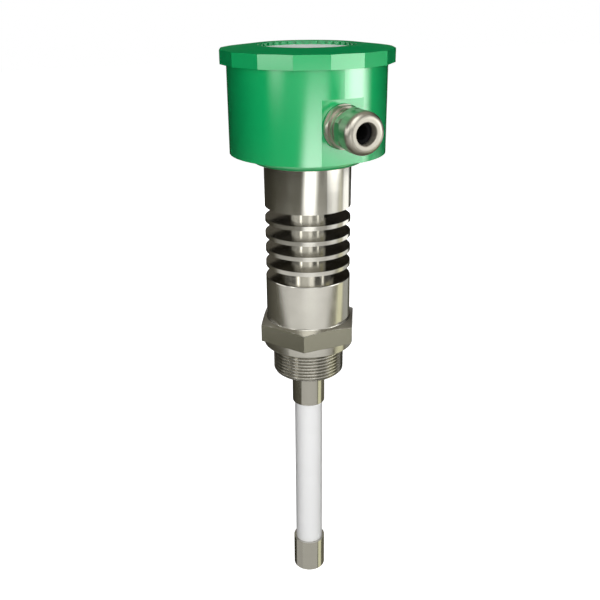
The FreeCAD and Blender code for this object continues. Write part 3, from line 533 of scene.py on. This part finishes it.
def studio(s):
    """What polished metal shows: a list of areas and their colours, from the broad to the small."""
    return (
        # the room gets lighter from the lamps' level down to the table, and darker to the sides
        (s.panel(-200, 200, -100, NECK_HIGH), (0.052, 0.048, 0.036, 1)),
        (s.panel(-120, 200, -100, NECK_LOW, 45), (0.165, 0.157, 0.125, 1)),
        (s.panel(-200, 200, -100, FLOOR_LOW), (0.030, 0.028, 0.020, 1)),
        (s.panel(-120, 200, -100, FLOOR_LOW, 45), (0.105, 0.099, 0.074, 1)),
        # dim ceiling, a row of lamps under it, and the pale table below
        (s.panel(-200, 200, 36, 100, 3, 10), (0.42, 0.40, 0.34, 1)),
        (s.panel(-120, 120, 7, 17, 8, 3), (1.20, 1.20, 1.15, 1)),
        (s.panel(-113, -40, -47, -35, 3), (0.52, 0.51, 0.47, 1)),
        (s.panel(-52, 67, -100, -47, 2.5), (0.34, 0.33, 0.29, 1)),
        (s.panel(-52, 67, -47, FLOOR_LOW, 2.5), (0.60, 0.59, 0.54, 1)),
        (s.panel(73, 105, -47, FLOOR_LOW, 2.5), (0.95, 0.94, 0.66, 1)),
        (s.panel(105, 175, -100, FLOOR_LOW, 8), (0.16, 0.15, 0.11, 1)),
        # cards round the table's edge, seen in the fitting
        (s.panel(58, 90, FLOOR_LOW, NECK_LOW, 4), (0.32, 0.305, 0.235, 1)),
        (s.panel(-70.5, 60.5, FLOOR_LOW, NECK_LOW, 2.5, spread=0.10), (0.99, 0.98, 0.94, 1)),
        (s.panel(-20, 44, FLOOR_LOW, NECK_LOW, 24), (1.20, 1.19, 1.15, 1)),
        (s.panel(84.5, 108, FLOOR_LOW, NECK_LOW, 2, spread=0.03), (1.06, 1.04, 0.74, 1)),
        (s.panel(110, 142, FLOOR_LOW, NECK_LOW, 4), (0.50, 0.50, 0.46, 1)),
        # wall behind the table, seen in the neck
        (s.panel(-105, -5, NECK_LOW, NECK_HIGH, 35), (0.100, 0.096, 0.072, 1)),
        (s.panel(-52, -5, NECK_LOW, NECK_HIGH, 22), (0.155, 0.150, 0.118, 1)),
        (s.panel(20, 50, NECK_LOW, NECK_HIGH, 10), (0.46, 0.45, 0.40, 1)),
        (s.panel(54, 90, NECK_LOW, HEAD_LOW, 7, 0.5), (0.76, 0.76, 0.73, 1)),
        (s.panel(67, 84, NECK_LOW, HEAD_LOW, 6, 0.5), (1.12, 1.12, 1.08, 1)),
        (s.panel(90, 104, NECK_LOW, HEAD_LOW, 5, 0.5), (0.80, 0.78, 0.62, 1)),
        (s.panel(107, 138, NECK_LOW, HEAD_LOW, 6, 0.5), (1.90, 1.90, 1.84, 1)),
        # a tall window on the right, with a paler near edge, a dim far side and a narrow lamp above it
        (s.panel(54, 92, HEAD_LOW, 8, 12, 0.5), (4.00, 4.00, 3.90, 1)),
        (s.panel(38, 62, -5.3, 8, 5, 0.5), (1.50, 1.50, 1.45, 1)),
        (s.panel(90, 118, -5.3, 8, 4, 0.5), (0.12, 0.12, 0.11, 1)),
        (s.panel(62, 72, 8, 34, 3), (2.60, 2.60, 2.50, 1)),
        # a low lamp at the far left, a dim card, and an upright lamp with a bright core
        (s.panel(-92, -60, 1, 13, 4, 1.2), (3.20, 3.20, 3.10, 1)),
        (s.panel(-32, 0, -9.5, 8, 8, 2), (0.20, 0.20, 0.19, 1)),
        (s.panel(-53, -33, -6.0, 30, 8, 3), (1.75, 1.75, 1.70, 1)),
        (s.panel(-46, -38, 10, 30, 2, 3), (4.60, 4.60, 4.45, 1)),
        # boxes above the camera
        (s.panel(-30, 4, 12, 32, 6, 4), (1.20, 1.20, 1.15, 1)),
        (s.panel(4, 28, 12, 32, 6, 4), (2.10, 2.10, 2.05, 1)),
        (s.panel(-24, 30, 30, 66, 6, 6), (3.00, 3.00, 2.90, 1)),
        # a leaning strip in front, which fades upward
        (s.product(s.panel(-13.5, 17.5, -16.8, 40, 7, lean=1.5), s.falling(s.rise, -13.5, -3.5)),
         (3.1, 3.1, 3.05, 1)),
        # dark behind the object, and a dim wall at its left
        (s.product(s.behind(150, 164), s.rising(s.rise, -34, -28), s.falling(s.rise, 24, 32)),
         (0.013, 0.011, 0.007, 1)),
        (s.panel(-185, -128, 14, 30, 6, 3), (0.11, 0.10, 0.08, 1)),
    )


def make_world():
    """White behind everything, soft light all round, and lamps, cards and a table in reflections."""
    world = bpy.data.worlds.new("studio")
    world.use_nodes = True
    bpy.context.scene.world = world
    s = Sky(world.node_tree)
    path = s.node("ShaderNodeLightPath").outputs
    colour = (0.008, 0.008, 0.007, 1)
    for area, tone in studio(s):
        colour = s.mix(area, colour, tone)
    # a narrow light straight behind the object, which only first reflections show
    strip = s.product(s.behind(165, 171), s.rising(s.rise, -40, -34), s.falling(s.rise, 4, 10))
    strip = s.product(strip, s.math("LESS_THAN", path["Glossy Depth"], 1.5))
    colour = s.mix(strip, colour, (0.90, 0.90, 0.87, 1))
    # light that comes off two polished faces is weak between the table's edge and the lamps
    level = s.product(s.rising(s.rise, -18.5, -16.5), s.rising(s.rise, 4, 10, start=0.7, end=0.0))
    twice = s.product(s.math("GREATER_THAN", path["Glossy Depth"], 1.5), level)
    colour = s.mix(twice, colour, (0.01, 0.01, 0.009, 1))
    soft = s.mix(s.panel(-42, 58, -60, 65, 15, 15), (0.05, 0.05, 0.05, 1), (0.45, 0.45, 0.45, 1))
    shown = s.mix(path["Is Glossy Ray"], soft, colour)
    backdrop = s.math("MAXIMUM", path["Is Camera Ray"], path["Is Transmission Ray"])
    shown = s.mix(backdrop, shown, (1, 1, 1, 1))
    background = s.node("ShaderNodeBackground")
    s.feed(background.inputs[0], shown)
    s.show(background, "ShaderNodeOutputWorld")


def area_light(name, azimuth, height, size, power):
    """A square lamp that lights the object softly and shows in no reflection."""
    data = bpy.data.lights.new(name, "AREA")
    data.shape = "SQUARE"
    data.size = size
    data.energy = power
    light = bpy.data.objects.new(name, data)
    angle = CAMERA_AZIMUTH + math.radians(azimuth)
    place = Vector((LAMP_DISTANCE * math.cos(angle), LAMP_DISTANCE * math.sin(angle), height))
    aim = LAMP_TARGET - place
    light.matrix_world = Matrix.Translation(place) @ aim.to_track_quat("-Z", "Y").to_matrix().to_4x4()
    light.visible_glossy = False
    light.visible_camera = False
    bpy.context.scene.collection.objects.link(light)


def pale_floor():
    """White to the camera but for the object's shadow, grey to the object, and clear from below."""
    material, s = new_material("pale_floor")
    camera_ray = s.node("ShaderNodeLightPath").outputs["Is Camera Ray"]
    diffuse = s.node("ShaderNodeBsdfDiffuse")
    s.feed(diffuse.inputs[0], s.mix(camera_ray, (0.35, 0.35, 0.35, 1), (0.70, 0.70, 0.70, 1)))
    glow = s.node("ShaderNodeEmission")
    s.feed(glow.inputs[0], (1, 1, 1, 1))
    s.feed(glow.inputs[1], s.product(camera_ray, 0.93))
    both = s.node("ShaderNodeAddShader")
    s.feed(both.inputs[0], diffuse.outputs[0])
    s.feed(both.inputs[1], glow.outputs[0])
    sided = s.node("ShaderNodeMixShader")
    s.feed(sided.inputs[0], s.node("ShaderNodeNewGeometry").outputs["Backfacing"])
    s.feed(sided.inputs[1], both.outputs[0])
    s.feed(sided.inputs[2], s.node("ShaderNodeBsdfTransparent").outputs[0])
    s.show(sided)
    return material


def make_floor():
    mesh = bpy.data.meshes.new("floor")
    signs = ((-1, -1), (1, -1), (1, 1), (-1, 1))
    corners = [(x * FLOOR_HALF, y * FLOOR_HALF, FLOOR_Z) for x, y in signs]
    mesh.from_pydata(corners, [], [(0, 1, 2, 3)])
    mesh.materials.append(pale_floor())
    floor = bpy.data.objects.new("floor", mesh)
    bpy.context.scene.collection.objects.link(floor)
    floor.visible_glossy = False


def dress(material, *names):
    """Give the named CAD pieces one material."""
    for name in names:
        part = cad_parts[name]
        part.data.materials.clear()
        part.data.materials.append(material)


def dress_all():
    steel = (0.60, 0.585, 0.54)
    dress(paint(), "housing", "cover")
    dress(turned_metal("turned_steel", steel, 0.11, 0.15),
          "cooling_neck", "upper_ferrule", "tip_cap", "electrode_rod")
    plated = turned_metal("plated_brass", (0.53, 0.505, 0.445), 0.31, 0.36,
                          along_x=True, depth=0.000001, marks=mouth_marks)
    dress(plated, "gland_body", "gland_nut", "gland_slip_ring")
    dress(white_polymer(), "rod_sleeve", "insulating_bush")
    dress(plastic("lead_sleeve", (0.70, 0.71, 0.70), (0.78, 0.78, 0.77), 0.4), "sensor_lead")
    dress(rubber(),
          "gland_seal", "gland_washer", "cover_seal", "window_gasket", "neck_gasket", "rod_seal")
    dress(turned_metal("zinc_steel", (0.62, 0.63, 0.65), 0.28, 0.36),
          "lock_nut", "rod_nut", "rod_jam_nut", "rod_washer", "plate_screws", "terminal_screws",
          "shield_can")
    dress(turned_metal("bare_brass", (0.72, 0.52, 0.24), 0.22, 0.30),
          "lower_pillars", "upper_pillars", "lead_pin", "ground_screw", "ground_washer")
    dress(turned_metal("plain_aluminium", (0.75, 0.75, 0.76), 0.25, 0.33), "window_ring")
    dress(window_pane(), "window_glass")
    dress(circuit_board(), "main_board")
    dress(plastic("white_plate", (0.72, 0.74, 0.73), (0.80, 0.81, 0.80), 0.45), "front_plate")
    dress(plastic("grey_moulding", (0.10, 0.12, 0.11), (0.14, 0.16, 0.15), 0.5), "terminal_block")
    dress(plastic("black_moulding", (0.012, 0.012, 0.014), (0.02, 0.02, 0.022), 0.4), "output_relay")
    dress(plastic("red_lens", (0.50, 0.02, 0.015), (0.58, 0.03, 0.02), 0.2), "indicator_lenses")
    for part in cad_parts.values():
        smooth_by_angle(part)
    threaded_fitting(turned_metal("turned_and_drawn_steel", steel, 0.11, 0.15, marks=fitting_marks))


dress_all()
make_camera()
make_world()
make_floor()
area_light("key_light", 22, 0.35, 0.7, 7.8)
area_light("fill_light", -17, 0.28, 0.6, 5.4)
area_light("back_light", 180, 0.30, 0.5, 6.0)
bpy.context.scene.view_settings.view_transform = "Standard"
